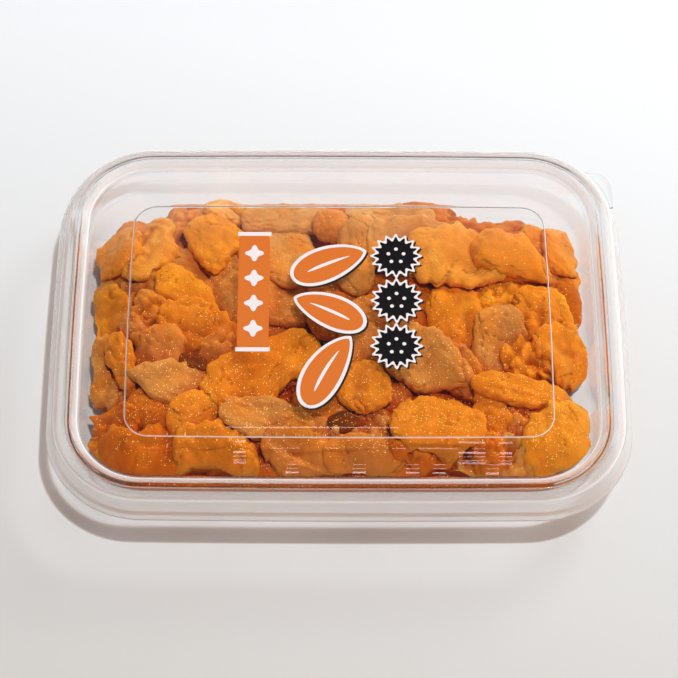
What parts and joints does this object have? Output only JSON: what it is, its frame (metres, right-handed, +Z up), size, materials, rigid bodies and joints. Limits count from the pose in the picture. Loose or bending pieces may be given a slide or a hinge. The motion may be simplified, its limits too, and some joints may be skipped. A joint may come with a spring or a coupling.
{
  "type": "sea urchin roe in a clear snap-lid pack",
  "caption": "Shut clear rectangular snap-lid pack with rounded corners, filled with a loose heap of orange and tan sea urchin roe lobes.",
  "frame": {"origin": "middle of the tray's flat underside", "axes": "+X along the long side, +Y towards the back, where the pull tab is on the right, +Z up"},
  "size_m": [0.15, 0.11, 0.022],
  "materials": {
    "clear_tray": "clear, glossy thermoformed sheet",
    "clear_lid": "clear, glossy thermoformed sheet with printed shapes",
    "roe": "moist, finely granular orange and tan roe"
  },
  "bodies": {
    "root": {"tray": "clear_tray", "lid": "clear_lid", "roe_heap": "roe"}
  },
  "joints": []
}
